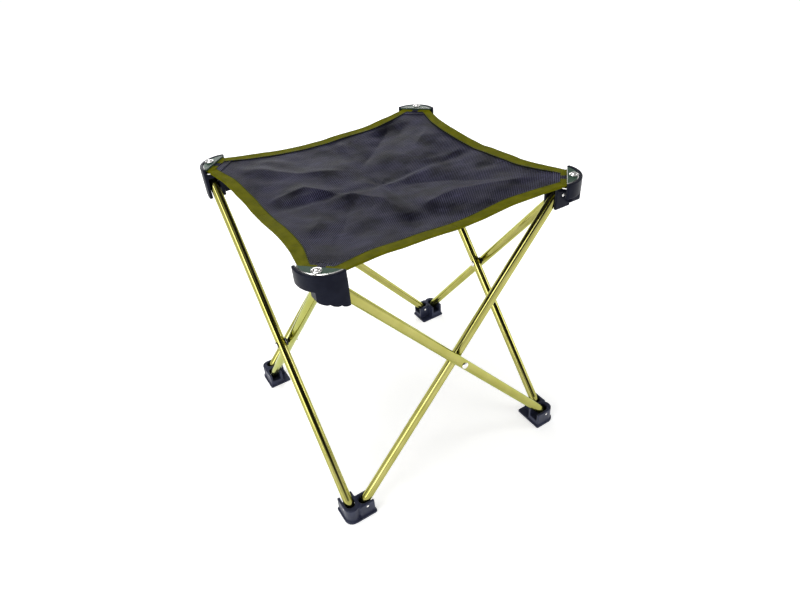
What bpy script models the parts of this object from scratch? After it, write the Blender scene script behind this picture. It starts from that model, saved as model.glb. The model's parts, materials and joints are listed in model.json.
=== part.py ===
"""Folding camp stool: four scissor sides between four top hubs and four feet, and a clamped cloth seat.

Metres, +Z up. The stool stands open on the plane z = 0, centred on the Z axis.
Corner 0 is front left (-X, -Y) and the others follow anticlockwise.
Side k runs from corner k to corner k + 1.
Everything is drawn once, for corner 0 and side 0, and repeated by quarter turns about Z.
"""

import math

import bmesh
import bpy
from mathutils import Matrix, Vector

# Driving dimensions
HALF_RUN = 0.101  # half the distance between the pins of one leg tube, seen along its side
FOOT_PIN_Z = 0.0125
HUB_PIN_Z = 0.2515
TUBE_RADIUS = 0.00425
TUBE_WALL = 0.0008
TUBE_PAST_PIN = 0.0022  # how far a tube runs on past the centre of its end pin
OUTER_PLANE = 0.0129  # from a corner's pin point out to the plane of the outer tube
INNER_PLANE = 0.0029
PIN_RADIUS = 0.0012
RIVET_SHANK = 0.0015
HOLE_GAP = 0.0003  # running clearance round a pin or beside a tube
FACE_GAP = 0.00015  # between two flat faces that touch
STEP_BACK = 0.0002  # keeps the faces of two joined blocks out of one plane
CLEAR = 0.03  # how far a cutter runs out past the piece that it cuts
TUBE_SIDES = 28
TUBE_BORE_SIDES = 20
BORE_SIDES = 16
PIN_SIDES = 14
PIN_HOLE_SIDES = 12
OUTWARD = 225  # degrees, from the middle of the stool to corner 0

# The fasteners. A pin is given by where its two ends lie along its axis, from the pin point.
HUB_OUTER_PIN = (-0.0190, -0.0060)
HUB_INNER_PIN = (-0.0097, 0.0039)
FOOT_OUTER_PIN = (-0.0198, -0.0060)
FOOT_INNER_PIN = (-0.0095, 0.0041)
SEAT_HEAD = 0.0037  # radius of the seat rivet's head
SEAT_DOME = 0.0018
SEAT_SHANK_END = 0.0046
CROSSING_HEAD = 0.0029
CROSSING_DOME = 0.0010
HEAD_LIP = 0.0004  # the upright edge under a rivet head's dome
SPACER_RADIUS = 0.0036

# The hub's plan, in the corner's own axes with the pin point as origin
ARC_CENTRE = 0.0015
ARC_RADIUS = 0.0221
CHORD = -0.0117  # the seat side of the hub is the line x + y = CHORD
SEAT_RIVET = -0.0094  # x and y of the seat rivet's centre
RIM_WIDTH = 0.0026
TIP_RADIUS = 0.0014  # rounds the two ends of the hub's seat side
RIM_TOP = 0.0143
CAP_BOTTOM = 0.0020
RECESS_FLOOR = 0.0094
RECESS_PAST_CHORD = 0.012
BLOCK_INSIDE_DISC = 0.00005  # keeps the deep block's outer wall just inside the disc's edge
BLOCK_TOP = 0.0088
BLOCK_BOTTOM = -0.0110
SKIRT = (-0.0143, 0.0065)  # the deep block under the outer tube, from end to end
SKIRT_BOTTOM = (-0.0077, -0.0126)  # its underside slopes down from the first end to the second
LOBES = 3
LOBE_DEPTH = 0.0012
LOBE_STEPS = 8
CHEEK = 0.0024  # thickness of the walls on both sides of the inner tube
BLOCK_REACH = 0.0070  # how far the inner block runs past the pin towards the middle of the stool
SLOT_ROOF = 0.0052
SLOT_END = -0.00075  # centre of the round closed end of a tube slot
LOWER_PLATE = (0.00955, 0.01035)
TOP_PLATE = (0.0124, 0.0141)
LOWER_PLATE_PAST_CHORD = 0.0055

# The foot's plan and heights
FOOT_MIN = (-0.0199, -0.0099)
FOOT_MAX = (0.0070, 0.0108)
FLANGE = 0.0013
FLANGE_TOP = -0.0103
FOOT_TOP = 0.0040
SLOT_FLOOR = -0.0051
OUTER_SOCKET_HALF = 0.0070
INNER_SOCKET_START = -0.0086
INNER_SOCKET_ROUND = 0.0018
INNER_SOCKET_DRAFT = 0.0003
FOOT_CHEEK = 0.0026
FLANGE_ROUND = 0.0080  # the flange's outer corner
SMALL_ROUND = 0.0015  # its other corners
SOCKET_SINK = 0.0010  # how far the sockets run down into the flange

# The seat
CLOTH_Z = 0.01175  # above the hub pins
CLOTH_THICKNESS = 0.0010
SEAT_SAG = 0.0140
SEAT_HINGE = -0.0119  # x + y of the line where the loose cloth leaves the plates
TAPE_OUTER = (0.1100, 0.1122)  # from the middle of the seat, half way along a side and near the hub
TAPE_WIDTH = 0.0100
TAPE_THICKNESS = 0.0022
TAPE_CORNER = 0.0930
CLAMP_HALF_WIDTH = 0.0152
CLAMP_GAP = 0.0005
PATCH_LENGTH = 0.0050
SEAM_GAP = 0.00015
TAPE_BELOW = 0.0006  # how far the tape reaches below the cloth's middle
CORNER_INSET = 0.0003

PLANE = HALF_RUN + (OUTER_PLANE + INNER_PLANE) / 2
SPACING = OUTER_PLANE - INNER_PLANE
RISE = HUB_PIN_Z - FOOT_PIN_Z
LEG_ANGLE = math.atan2(RISE, 2 * HALF_RUN)
PIN_TO_PIN = math.hypot(RISE, 2 * HALF_RUN)
MIDDLE_Z = (HUB_PIN_Z + FOOT_PIN_Z) / 2
SLOT_HALF = TUBE_RADIUS + HOLE_GAP
CORNERS = ("front_left", "front_right", "back_right", "back_left")
SIDES = ("front", "right", "back", "left")


def clear_scene():
    for old in list(bpy.data.objects):
        bpy.data.objects.remove(old, do_unlink=True)


def new_collection(name):
    made = bpy.data.collections.new(name)
    bpy.context.scene.collection.children.link(made)
    return made


def material(name, colour, roughness, metallic):
    made = bpy.data.materials.new(name)
    made.use_nodes = True
    shader = made.node_tree.nodes["Principled BSDF"]
    shader.inputs["Base Color"].default_value = (*colour, 1.0)
    shader.inputs["Roughness"].default_value = roughness
    shader.inputs["Metallic"].default_value = metallic
    made.diffuse_color = (*colour, 1.0)
    return made


def arc(centre, radius, start, end, steps):
    """Points on a circle from start to end degrees, anticlockwise when end is larger."""
    points = []
    for i in range(steps + 1):
        angle = math.radians(start + (end - start) * i / steps)
        points.append((centre[0] + radius * math.cos(angle), centre[1] + radius * math.sin(angle)))
    return points


def mesh_from(obj):
    """The evaluated shape of an object as a welded mesh; the object itself is removed."""
    bpy.context.view_layer.update()
    evaluated = obj.evaluated_get(bpy.context.evaluated_depsgraph_get())
    made = bpy.data.meshes.new_from_object(evaluated)
    made.transform(obj.matrix_world)
    bpy.data.objects.remove(obj, do_unlink=True)
    shape = bmesh.new()
    shape.from_mesh(made)
    bmesh.ops.remove_doubles(shape, verts=shape.verts, dist=1e-6)
    bmesh.ops.recalc_face_normals(shape, faces=shape.faces)
    shape.to_mesh(made)
    shape.free()
    return made


def flat_piece(name, outline, bottom, top):
    """A closed plate with the given outline, from bottom to top."""
    curve = bpy.data.curves.new(name, "CURVE")
    curve.dimensions = "2D"
    curve.fill_mode = "BOTH"
    curve.extrude = (top - bottom) / 2
    line = curve.splines.new("POLY")
    line.points.add(len(outline) - 1)
    for point, (x, y) in zip(line.points, outline):
        point.co = (x, y, 0.0, 1.0)
    line.use_cyclic_u = True
    obj = bpy.data.objects.new(name, curve)
    obj.location.z = (top + bottom) / 2
    bpy.context.scene.collection.objects.link(obj)
    return mesh_from(obj)


def box(name, low, high):
    outline = ((low[0], low[1]), (high[0], low[1]), (high[0], high[1]), (low[0], high[1]))
    return flat_piece(name, outline, low[2], high[2])


def rod(name, radius, start, end, segments):
    """A capped cylinder between two points."""
    made = bpy.data.meshes.new(name)
    start = Vector(start)
    end = Vector(end)
    turn = (end - start).to_track_quat("Z", "Y").to_matrix().to_4x4()
    place = Matrix.Translation((start + end) / 2) @ turn
    shape = bmesh.new()
    bmesh.ops.create_cone(
        shape, cap_ends=True, segments=segments, radius1=radius, radius2=radius,
        depth=(end - start).length, matrix=place,
    )
    shape.to_mesh(made)
    shape.free()
    return made


def turned(name, profile, steps, closed=False):
    """A profile of (radius, height) points turned round Z with a Screw modifier."""
    made = bpy.data.meshes.new(name)
    edges = [(i, i + 1) for i in range(len(profile) - 1)]
    if closed:
        edges.append((len(profile) - 1, 0))
    made.from_pydata([(r, 0.0, z) for r, z in profile], edges, [])
    obj = bpy.data.objects.new(name, made)
    bpy.context.scene.collection.objects.link(obj)
    screw = obj.modifiers.new("turn", "SCREW")
    screw.steps = steps
    screw.render_steps = steps
    screw.use_merge_vertices = True
    screw.merge_threshold = 1e-5
    return mesh_from(obj)


def combine(name, base, others, operation):
    """base joined with, or cut by, the other meshes in turn, with exact booleans."""
    obj = bpy.data.objects.new(name, base)
    bpy.context.scene.collection.objects.link(obj)
    helpers = []
    for mesh in others:
        helper = bpy.data.objects.new(mesh.name, mesh)
        helper.hide_render = True
        helper.display_type = "WIRE"
        cutters.objects.link(helper)
        step = obj.modifiers.new("step", "BOOLEAN")
        step.operation = operation
        step.solver = "EXACT"
        step.object = helper
        helpers.append(helper)
    made = mesh_from(obj)
    for helper in helpers:
        bpy.data.objects.remove(helper, do_unlink=True)
    made.name = name
    return made


def smooth(mesh, degrees=35):
    mesh.shade_smooth()
    mesh.set_sharp_from_angle(angle=math.radians(degrees))
    return mesh


def quarter(k):
    return Matrix.Rotation(math.radians(90 * k), 4, "Z")


def place(name, mesh, look, matrix, parent=None):
    """One named sub-part. It may share its mesh with its copies."""
    obj = bpy.data.objects.new(name, mesh)
    if not mesh.materials:
        mesh.materials.append(look)
    parts.objects.link(obj)
    obj.matrix_world = matrix
    if parent is not None:
        obj.parent = parent
        obj.matrix_parent_inverse = parent.matrix_world.inverted()
        obj.matrix_world = matrix
    return obj


def pivot(name, location):
    """An empty on a joint's axis, which the pieces that turn there are parented to."""
    empty = bpy.data.objects.new(name, None)
    empty.empty_display_size = 0.01
    empty.location = location
    parts.objects.link(empty)
    bpy.context.view_layer.update()
    return empty


# ---------------------------------------------------------------- shapes, for corner 0


def disc_segment(radius, line):
    """The outline of the part of the hub's disc on the outer side of x + y = line."""
    away = (2 * ARC_CENTRE - line) / math.sqrt(2)
    half = math.degrees(math.acos(away / radius))
    return arc((ARC_CENTRE, ARC_CENTRE), radius, OUTWARD - half, OUTWARD + half, 28)


def cap_outline():
    """The hub's D shape, with a fillet where its straight side meets the arc."""
    away = (2 * ARC_CENTRE - CHORD) / math.sqrt(2) + TIP_RADIUS
    reach = ARC_RADIUS - TIP_RADIUS
    half = math.degrees(math.acos(away / reach))
    first, last = OUTWARD - half, OUTWARD + half
    tips = []
    for angle in (first, last):
        turn = math.radians(angle)
        tips.append((ARC_CENTRE + reach * math.cos(turn), ARC_CENTRE + reach * math.sin(turn)))
    return [
        *arc(tips[0], TIP_RADIUS, OUTWARD - 180, first, 5),
        *arc((ARC_CENTRE, ARC_CENTRE), ARC_RADIUS, first, last, 26)[1:-1],
        *arc(tips[1], TIP_RADIUS, last, OUTWARD + 180, 5),
    ]


def under_skirt():
    """What is cut away under the deep block: everything below a sloping row of round lobes."""
    left, right = SKIRT
    pitch = (right - left) / LOBES
    fall = (SKIRT_BOTTOM[1] - SKIRT_BOTTOM[0]) / (LOBES - 1)
    edge = []
    for lobe in range(LOBES):
        for i in range(LOBE_STEPS + 1):
            share = i / LOBE_STEPS
            x = left + pitch * (lobe + share)
            round_part = math.sqrt(1 - (2 * share - 1) ** 2)
            low = SKIRT_BOTTOM[0] + fall * (lobe + share - 0.5)
            edge.append((x, low + LOBE_DEPTH * (1 - round_part)))
    low_corners = [(left - CLEAR, -CLEAR), (right + CLEAR, -CLEAR)]
    outline = [*low_corners, (right + CLEAR, edge[-1][1]), *reversed(edge), (left - CLEAR, edge[0][1])]
    cutter = flat_piece("under_skirt", outline, -CLEAR, CLEAR)
    cutter.transform(Matrix.Rotation(math.pi / 2, 4, "X"))
    return cutter


def slot_outline(centre, along_x):
    """A tube slot's outline: round at its closed end and open at the far end."""
    end = arc((SLOT_END, centre), SLOT_HALF, 90, 270, 12)
    outline = [*end, (CLEAR, centre - SLOT_HALF), (CLEAR, centre + SLOT_HALF)]
    if along_x:
        return outline
    return [(y, x) for x, y in reversed(outline)]


def hub_mesh():
    outer = -OUTER_PLANE
    inner = -INNER_PLANE
    web = outer + SLOT_HALF  # where the outer slot ends and the wall between the slots begins
    back = SLOT_END - SLOT_HALF
    cap = flat_piece("hub", cap_outline(), CAP_BOTTOM, RIM_TOP)
    block = flat_piece("outer_block", outer_block_outline(back), SKIRT_BOTTOM[1] - LOBE_DEPTH, BLOCK_TOP)
    outer_block = combine("outer_block", block, [under_skirt()], "DIFFERENCE")
    inner_block = box(
        "inner_block",
        (inner - SLOT_HALF - CHEEK, web + 2 * STEP_BACK, BLOCK_BOTTOM),
        (inner + SLOT_HALF + CHEEK, BLOCK_REACH, BLOCK_TOP - STEP_BACK),
    )
    body = combine("hub", cap, [outer_block, inner_block], "UNION")
    recess_plan = disc_segment(ARC_RADIUS - RIM_WIDTH, CHORD + RECESS_PAST_CHORD)
    first, last = HUB_OUTER_PIN[0] - HOLE_GAP, HUB_OUTER_PIN[1] + HOLE_GAP
    rivet = (SEAT_RIVET, SEAT_RIVET)
    shank_room = SEAT_SHANK_END - 2 * HOLE_GAP
    cuts = [
        flat_piece("recess", recess_plan, RECESS_FLOOR, CLEAR),
        flat_piece("outer_slot", slot_outline(outer, True), -CLEAR, SLOT_ROOF),
        flat_piece("inner_slot", slot_outline(inner, False), -CLEAR, SLOT_ROOF),
        rod("outer_bore", PIN_RADIUS + HOLE_GAP, (0, first, 0), (0, last, 0), BORE_SIDES),
        rod("inner_bore", PIN_RADIUS + HOLE_GAP, (-CLEAR, 0, 0), (CLEAR, 0, 0), BORE_SIDES),
        rod("rivet_bore", RIVET_SHANK + HOLE_GAP, (*rivet, shank_room), (*rivet, CLEAR), BORE_SIDES),
    ]
    return smooth(combine("hub", body, cuts, "DIFFERENCE"))


def outer_block_outline(back):
    """The deep part of the hub: its outer wall follows the disc's edge."""
    left, right = SKIRT
    first = math.degrees(math.acos((left - ARC_CENTRE) / ARC_RADIUS))
    last = math.degrees(math.acos((right - ARC_CENTRE) / ARC_RADIUS))
    outline = arc((ARC_CENTRE, ARC_CENTRE), ARC_RADIUS - BLOCK_INSIDE_DISC, 360 - first, 360 - last, 14)
    return [*outline, (right, back), (left, back)]


def flange_corner(x, y, radius, start):
    """A quarter round at a corner of the foot's flange; start is the arc's first direction in degrees."""
    side_x = 1 if x < 0 else -1
    side_y = 1 if y < 0 else -1
    steps = 8 if radius > SMALL_ROUND else 3
    return arc((x + side_x * radius, y + side_y * radius), radius, start, start + 90, steps)


def foot_mesh():
    low_x, low_y = FOOT_MIN
    high_x, high_y = FOOT_MAX
    outer = -OUTER_PLANE
    inner = -INNER_PLANE
    wall = OUTER_SOCKET_HALF
    flange = [
        *flange_corner(low_x - FLANGE, low_y - FLANGE, FLANGE_ROUND, 180),
        *flange_corner(high_x + FLANGE, low_y - FLANGE, SMALL_ROUND, 270),
        *flange_corner(high_x + FLANGE, high_y + FLANGE, SMALL_ROUND, 0),
        *flange_corner(low_x - FLANGE, high_y + FLANGE, SMALL_ROUND, 90),
    ]
    base = flat_piece("foot", flange, -FOOT_PIN_Z, FLANGE_TOP)
    round_end = arc((outer, low_y + wall), wall, 180, 360, 14)
    outer_socket = [*round_end, (outer + wall, high_y), (outer - wall, high_y)]
    start = INNER_SOCKET_START
    cheek_side = inner + SLOT_HALF + FOOT_CHEEK
    inner_socket = [
        *arc((start + INNER_SOCKET_ROUND, low_y + INNER_SOCKET_ROUND), INNER_SOCKET_ROUND, 180, 270, 4),
        (high_x, low_y + INNER_SOCKET_DRAFT),
        (high_x, cheek_side),
        (start, cheek_side),
    ]
    sockets = [
        flat_piece("outer_socket", outer_socket, FLANGE_TOP - SOCKET_SINK, FOOT_TOP),
        flat_piece("inner_socket", inner_socket, FLANGE_TOP - SOCKET_SINK, FOOT_TOP - STEP_BACK),
    ]
    body = combine("foot", base, sockets, "UNION")
    outer_end = FOOT_OUTER_PIN[1] + HOLE_GAP
    cuts = [
        flat_piece("outer_slot", slot_outline(outer, False), SLOT_FLOOR, CLEAR),
        flat_piece("inner_slot", slot_outline(inner, True), SLOT_FLOOR, CLEAR),
        rod("outer_bore", PIN_RADIUS + HOLE_GAP, (-CLEAR, 0, 0), (outer_end, 0, 0), BORE_SIDES),
        rod("inner_bore", PIN_RADIUS + HOLE_GAP, (0, -CLEAR, 0), (0, CLEAR, 0), BORE_SIDES),
    ]
    return smooth(combine("foot", body, cuts, "DIFFERENCE"))


def tube_mesh():
    half = PIN_TO_PIN / 2 + TUBE_PAST_PIN
    past = half + CLEAR
    body = rod("leg_tube", TUBE_RADIUS, (-half, 0, 0), (half, 0, 0), TUBE_SIDES)
    cuts = [
        rod("bore", TUBE_RADIUS - TUBE_WALL, (-past, 0, 0), (past, 0, 0), TUBE_BORE_SIDES),
        rod("crossing_bore", RIVET_SHANK + HOLE_GAP, (0, -CLEAR, 0), (0, CLEAR, 0), PIN_HOLE_SIDES),
    ]
    for x in (-PIN_TO_PIN / 2, PIN_TO_PIN / 2):
        cuts.append(rod("pin_bore", PIN_RADIUS + HOLE_GAP, (x, -CLEAR, 0), (x, CLEAR, 0), PIN_HOLE_SIDES))
    return smooth(combine("leg_tube", body, cuts, "DIFFERENCE"))


def pin_mesh(name, ends, along_x):
    """A hub or foot pin between its two ends on one axis."""
    points = [(end, 0, 0) if along_x else (0, end, 0) for end in ends]
    return smooth(rod(name, PIN_RADIUS, *points, PIN_SIDES))


def dome(radius, height, base, steps):
    """Profile points of a low dome, from its top on the axis down to its edge."""
    points = []
    for i in range(steps + 1):
        angle = math.pi / 2 * i / steps
        points.append((radius * math.sin(angle), base + height * math.cos(angle)))
    points[0] = (0.0, base + height)
    return points


def seat_rivet_mesh():
    head = TOP_PLATE[1] + FACE_GAP
    profile = [
        *dome(SEAT_HEAD, SEAT_DOME, head + HEAD_LIP, 6),
        (SEAT_HEAD, head),
        (RIVET_SHANK, head),
        (RIVET_SHANK, SEAT_SHANK_END),
        (0.0, SEAT_SHANK_END),
    ]
    return smooth(turned("seat_rivet", profile, 20))


def crossing_rivet_mesh():
    seat = SPACING / 2 + TUBE_RADIUS + FACE_GAP
    dome_points = dome(CROSSING_HEAD, CROSSING_DOME, seat + HEAD_LIP, 4)
    top = [*dome_points, (CROSSING_HEAD, seat), (RIVET_SHANK, seat)]
    bottom = [(r, -z) for r, z in reversed(top)]
    return smooth(turned("crossing_rivet", top + bottom, 18))


def spacer_mesh():
    half = SPACING / 2 - TUBE_RADIUS - HOLE_GAP
    inner = RIVET_SHANK + HOLE_GAP
    ring = [(SPACER_RADIUS, half), (SPACER_RADIUS, -half), (inner, -half), (inner, half)]
    return smooth(turned("spacer", ring, 20, closed=True))


def plate_mesh(name, outline, span):
    plate = flat_piece(name, outline, *span)
    rivet = (SEAT_RIVET, SEAT_RIVET)
    bore = rod("bore", RIVET_SHANK + HOLE_GAP, (*rivet, 0.0), (*rivet, CLEAR), BORE_SIDES)
    return smooth(combine(name, plate, [bore], "DIFFERENCE"))


def lower_plate_outline():
    """The lower clamp plate runs on under the cloth past the chord, with rounded ends."""
    radius = ARC_RADIUS - RIM_WIDTH - HOLE_GAP
    outline = disc_segment(radius, CHORD)
    end = Vector(outline[-1])
    start = Vector(outline[0])
    inward = Vector((1, 1)).normalized() * LOWER_PLATE_PAST_CHORD
    along = (start - end).normalized()
    lip = []
    for i in range(1, 8):
        angle = math.pi / 2 * i / 8
        lip.append(end + inward * math.sin(angle) + along * LOWER_PLATE_PAST_CHORD * (1 - math.cos(angle)))
    for i in range(7, 0, -1):
        angle = math.pi / 2 * i / 8
        lip.append(start + inward * math.sin(angle) - along * LOWER_PLATE_PAST_CHORD * (1 - math.cos(angle)))
    return outline + [(p.x, p.y) for p in lip]


# ---------------------------------------------------------------- the seat, for the corner-0 quarter


def edge_offset(along):
    """How far the seat's edge lies from the middle line, at a distance along the side from its middle."""
    share = min(1.0, along / TAPE_CORNER)
    return TAPE_OUTER[0] + (TAPE_OUTER[1] - TAPE_OUTER[0]) * share**3


def clamp_point(offset, inset):
    """A point beside the hub's chord, offset along it from its middle and inset towards the seat."""
    middle = -HALF_RUN + (CHORD + CLAMP_GAP) / 2 + inset / math.sqrt(2)
    return (middle + offset / math.sqrt(2), middle - offset / math.sqrt(2))


def side_line(inset, steps=8):
    """Points along side 0's half of the quarter at a given distance inside the seat's edge."""
    points = []
    for i in range(steps + 1):
        along = (TAPE_CORNER - inset * 0.5) * i / steps
        points.append((-max(along, SEAM_GAP), -(edge_offset(along) - inset)))
    return points


def panel_outline():
    inset = TAPE_WIDTH + SEAM_GAP
    front = side_line(inset)
    left = [(y, x) for x, y in front]
    near = clamp_point(CLAMP_HALF_WIDTH - inset - STEP_BACK, PATCH_LENGTH + CLAMP_GAP)
    far = (near[1], near[0])
    return [(-SEAM_GAP, -SEAM_GAP), *front, near, far, *reversed(left)]


def binding_outline():
    """Both edge tapes of a quarter, joined by the doubled cloth beside the clamp."""
    front_outer = side_line(0.0)
    front_inner = side_line(TAPE_WIDTH)
    corner_outer = clamp_point(CLAMP_HALF_WIDTH, CORNER_INSET)
    corner_inner = clamp_point(CLAMP_HALF_WIDTH - TAPE_WIDTH, PATCH_LENGTH)
    half = [*front_outer, corner_outer]
    inner_half = [*front_inner, corner_inner]
    other = [(y, x) for x, y in reversed(half)]
    other_inner = [(y, x) for x, y in inner_half]
    return [*half, *other, *other_inner, *reversed(inner_half)]


def tilted(mesh):
    """Lays a flat quarter of the seat on its slope from the hub down to the middle of the seat."""
    corner = -HALF_RUN + SEAT_HINGE / 2
    reach = -corner * math.sqrt(2)
    slope = math.atan2(SEAT_SAG, reach)
    line = Vector((corner, corner, CLOTH_Z + HUB_PIN_Z))
    turn = Matrix.Rotation(slope, 4, Vector((-1, 1, 0)))
    stretch = Matrix.Scale(1 / math.cos(slope), 4, Vector((1, 1, 0)).normalized())
    mesh.transform(Matrix.Translation(line) @ turn @ stretch @ Matrix.Translation((-line.x, -line.y, 0)))
    return mesh


# ---------------------------------------------------------------- assembly

clear_scene()
parts = new_collection("folding_camp_stool")
cutters = new_collection("cutters")

anodised = material("anodised_aluminium", (0.42, 0.40, 0.09), 0.22, 1.0)
plastic = material("black_plastic", (0.018, 0.019, 0.028), 0.42, 0.0)
green_paint = material("green_plate_paint", (0.06, 0.14, 0.11), 0.35, 0.3)
steel = material("plated_steel", (0.75, 0.74, 0.72), 0.2, 1.0)
cloth = material("charcoal_cloth", (0.035, 0.035, 0.05), 0.75, 0.0)
tape = material("olive_tape", (0.11, 0.11, 0.012), 0.8, 0.0)

plate_plan = disc_segment(ARC_RADIUS - RIM_WIDTH - HOLE_GAP, CHORD)
half_cloth = CLOTH_THICKNESS / 2
meshes = {
    "hub": hub_mesh(),
    "foot": foot_mesh(),
    "leg": tube_mesh(),
    "top_plate": plate_mesh("top_plate", plate_plan, TOP_PLATE),
    "lower_plate": plate_mesh("lower_plate", lower_plate_outline(), LOWER_PLATE),
    "seat_rivet": seat_rivet_mesh(),
    "crossing_rivet": crossing_rivet_mesh(),
    "spacer": spacer_mesh(),
    "hub_outer_pin": pin_mesh("hub_outer_pin", HUB_OUTER_PIN, along_x=False),
    "hub_inner_pin": pin_mesh("hub_inner_pin", HUB_INNER_PIN, along_x=True),
    "foot_outer_pin": pin_mesh("foot_outer_pin", FOOT_OUTER_PIN, along_x=True),
    "foot_inner_pin": pin_mesh("foot_inner_pin", FOOT_INNER_PIN, along_x=False),
    "seat_panel": tilted(flat_piece("seat_panel", panel_outline(), -half_cloth, half_cloth)),
    "seat_binding": tilted(
        flat_piece("seat_binding", binding_outline(), -TAPE_BELOW, TAPE_THICKNESS - TAPE_BELOW)
    ),
}

# Where each leg's joint to the body before it is, in the chain of bodies that starts at the front left foot.
# The leg's empty sits there.
LEG_JOINTS = {
    ("inner", 0): "foot",
    ("outer", 3): "foot",
    ("outer", 1): "hub",
    ("inner", 2): "hub",
    ("outer", 2): "hub",
    ("outer", 0): "crossing",
    ("inner", 1): "crossing",
    ("inner", 3): "crossing",
}

for k, corner in enumerate(CORNERS):
    at_foot = quarter(k) @ Matrix.Translation((-HALF_RUN, -HALF_RUN, FOOT_PIN_Z))
    at_hub = quarter(k) @ Matrix.Translation((-HALF_RUN, -HALF_RUN, HUB_PIN_Z))
    foot_pivot = pivot(f"foot_pivot_{corner}", at_foot.translation)
    hub_pivot = pivot(f"hub_pivot_{corner}", at_hub.translation)
    place(f"foot_{corner}", meshes["foot"], plastic, at_foot, foot_pivot)
    place(f"foot_outer_pin_{corner}", meshes["foot_outer_pin"], steel, at_foot, foot_pivot)
    place(f"foot_inner_pin_{corner}", meshes["foot_inner_pin"], steel, at_foot, foot_pivot)
    place(f"hub_{corner}", meshes["hub"], plastic, at_hub, hub_pivot)
    place(f"hub_outer_pin_{corner}", meshes["hub_outer_pin"], steel, at_hub, hub_pivot)
    place(f"hub_inner_pin_{corner}", meshes["hub_inner_pin"], steel, at_hub, hub_pivot)
    place(f"clamp_lower_plate_{corner}", meshes["lower_plate"], steel, at_hub, hub_pivot)
    place(f"clamp_top_plate_{corner}", meshes["top_plate"], green_paint, at_hub, hub_pivot)
    rivet_spot = Matrix.Translation((SEAT_RIVET, SEAT_RIVET, 0))
    place(f"seat_rivet_{corner}", meshes["seat_rivet"], steel, at_hub @ rivet_spot, hub_pivot)
    fold_line = -HALF_RUN + SEAT_HINGE / 2
    line_middle = quarter(k) @ Vector((fold_line, fold_line, HUB_PIN_Z + CLOTH_Z))
    seat_pivot = pivot(f"seat_pivot_{corner}", line_middle)
    place(f"seat_panel_{corner}", meshes["seat_panel"], cloth, quarter(k), seat_pivot)
    place(f"seat_binding_{corner}", meshes["seat_binding"], tape, quarter(k), seat_pivot)

for k, side in enumerate(SIDES):
    for kind in ("outer", "inner"):
        lean = LEG_ANGLE if kind == "outer" else -LEG_ANGLE
        out = SPACING / 2 if kind == "outer" else -SPACING / 2
        centre = quarter(k) @ Matrix.Translation((0, -(PLANE + out), MIDDLE_Z))
        matrix = centre @ Matrix.Rotation(lean, 4, "Y")
        up_end = -1 if kind == "outer" else 1
        joint = LEG_JOINTS[kind, k]
        shift = {"foot": -up_end * PIN_TO_PIN / 2, "hub": up_end * PIN_TO_PIN / 2, "crossing": 0.0}[joint]
        leg_pivot = pivot(f"leg_pivot_{side}_{kind}", matrix @ Vector((shift, 0, 0)))
        place(f"leg_{side}_{kind}", meshes["leg"], anodised, matrix, leg_pivot)
        if kind == "outer":
            crossing = quarter(k) @ Matrix.Translation((0, -PLANE, MIDDLE_Z))
            across = crossing @ Matrix.Rotation(math.pi / 2, 4, "X")
            place(f"crossing_rivet_{side}", meshes["crossing_rivet"], steel, across, leg_pivot)
            place(f"crossing_spacer_{side}", meshes["spacer"], plastic, across, leg_pivot)
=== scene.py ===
"""Folding camp stool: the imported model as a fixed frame, with finer pieces and procedural materials.

Metres, +Z up. Corner 0 is front left (-X, -Y) and the others follow anticlockwise. Side k runs from
corner k to corner k + 1. Pieces are drawn once, for corner 0 and side 0, and repeated by quarter turns
about Z.
"""

import json
import math

import bmesh
import bpy
from mathutils import Matrix, Vector, noise


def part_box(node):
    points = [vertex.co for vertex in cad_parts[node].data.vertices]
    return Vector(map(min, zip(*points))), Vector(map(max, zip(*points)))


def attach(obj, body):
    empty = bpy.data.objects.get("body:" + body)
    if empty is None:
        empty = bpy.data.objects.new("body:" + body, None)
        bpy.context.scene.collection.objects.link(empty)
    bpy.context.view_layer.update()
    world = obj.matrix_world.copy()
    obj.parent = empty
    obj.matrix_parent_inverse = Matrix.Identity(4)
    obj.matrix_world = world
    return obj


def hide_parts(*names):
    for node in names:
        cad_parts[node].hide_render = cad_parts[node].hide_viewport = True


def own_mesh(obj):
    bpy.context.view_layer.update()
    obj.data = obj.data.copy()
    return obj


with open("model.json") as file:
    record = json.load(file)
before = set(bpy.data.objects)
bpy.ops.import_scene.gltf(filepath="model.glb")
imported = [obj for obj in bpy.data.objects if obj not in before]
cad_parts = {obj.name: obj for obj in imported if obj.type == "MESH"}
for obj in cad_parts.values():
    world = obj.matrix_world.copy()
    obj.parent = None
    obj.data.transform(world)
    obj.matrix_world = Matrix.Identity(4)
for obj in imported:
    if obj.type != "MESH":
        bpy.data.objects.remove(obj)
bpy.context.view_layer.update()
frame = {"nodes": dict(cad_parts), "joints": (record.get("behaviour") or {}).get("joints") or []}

CORNERS = ("front_left", "front_right", "back_right", "back_left")
SIDES = ("front", "right", "back", "left")

# ---------------------------------------------------------------- places taken from the frame


def joint_point(name):
    """Where a joint's axis passes, at rest."""
    found = [j for j in frame["joints"] if j["name"] == name]
    return Vector(found[0]["pos_m"])


HALF_RUN = joint_point("leg_front_inner_at_hub").x
HUB_Z = joint_point("leg_front_inner_at_hub").z
FOOT_Z = joint_point("fold").z
INNER_PLANE = -joint_point("fold").y - HALF_RUN
OUTER_PLANE = -joint_point("leg_front_outer_at_hub").y - HALF_RUN
FOLD_LINE = -joint_point("seat_lift_front_left").x
CLOTH_Z = joint_point("seat_lift_front_left").z
PLATE_LOW, PLATE_HIGH = (corner.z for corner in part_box("clamp_top_plate_front_left"))
RIVET_LOW, RIVET_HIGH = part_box("seat_rivet_front_left")
RIVET_SPOT = (RIVET_LOW + RIVET_HIGH) / 2
RIVET_TOP = RIVET_HIGH.z

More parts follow.
